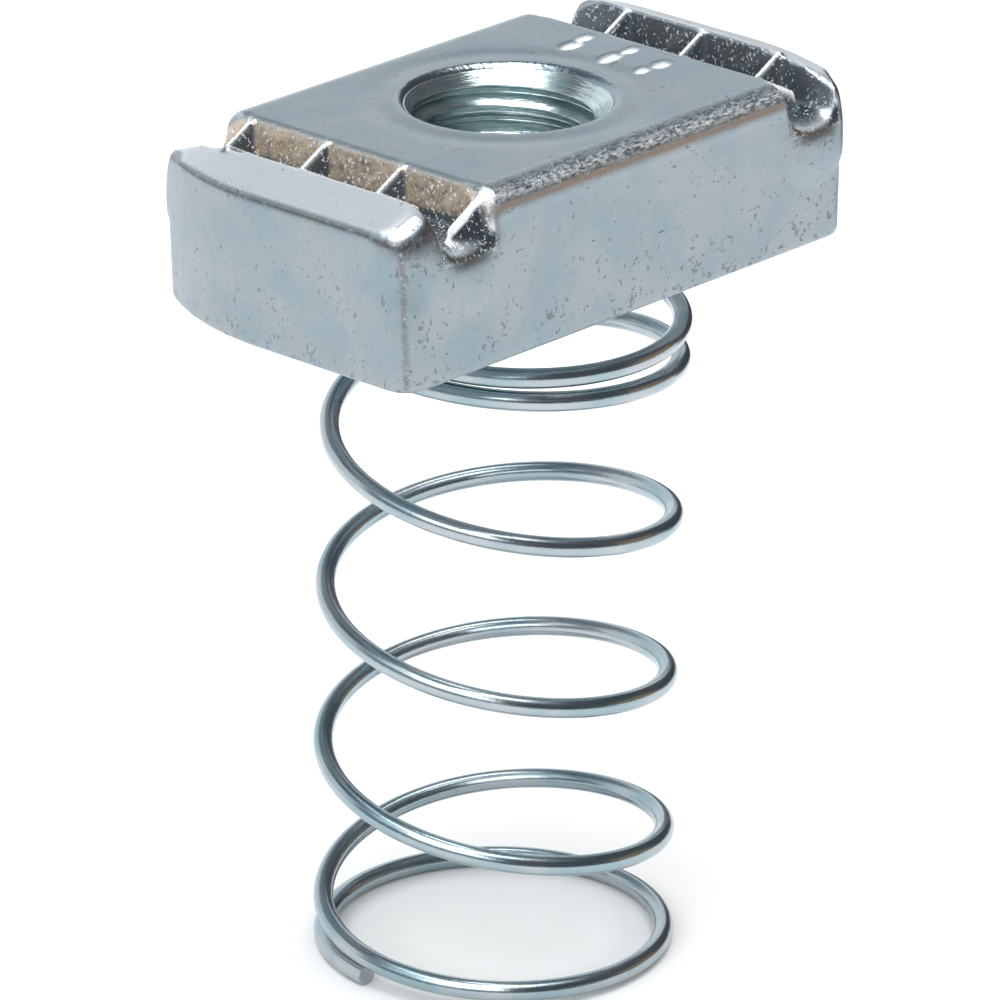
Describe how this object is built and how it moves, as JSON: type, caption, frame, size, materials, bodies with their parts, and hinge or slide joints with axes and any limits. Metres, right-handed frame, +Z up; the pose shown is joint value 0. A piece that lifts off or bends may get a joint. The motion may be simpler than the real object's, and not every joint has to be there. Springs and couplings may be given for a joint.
{
  "type": "strut channel spring nut",
  "caption": "Rectangular channel nut with toothed lip grooves and a threaded hole, held up by a long open coil spring under it.",
  "frame": {"origin": "on the threaded hole's axis, half way up the nut", "axes": "+Z up along the hole, away from the spring, the way the bolt leaves; +X along the nut's length, across its grooves"},
  "size_m": [0.0354, 0.0198, 0.0466],
  "materials": {
    "zinc_plate": "bright zinc plate, pale blue",
    "spring_wire": "bright zinc plated drawn wire"
  },
  "bodies": {
    "spring": {"coil_spring": "spring_wire"},
    "nut": {"channel_nut": "zinc_plate"}
  },
  "joints": [
    {"name": "spring_compression", "type": "slide", "parent": "spring", "child": "nut", "axis": [0, 0, 1], "range_m": [-0.028, 0], "stiffness_N_per_m": 500, "springref_m": 0.00077, "deforming": ["coil_spring"]}
  ]
}
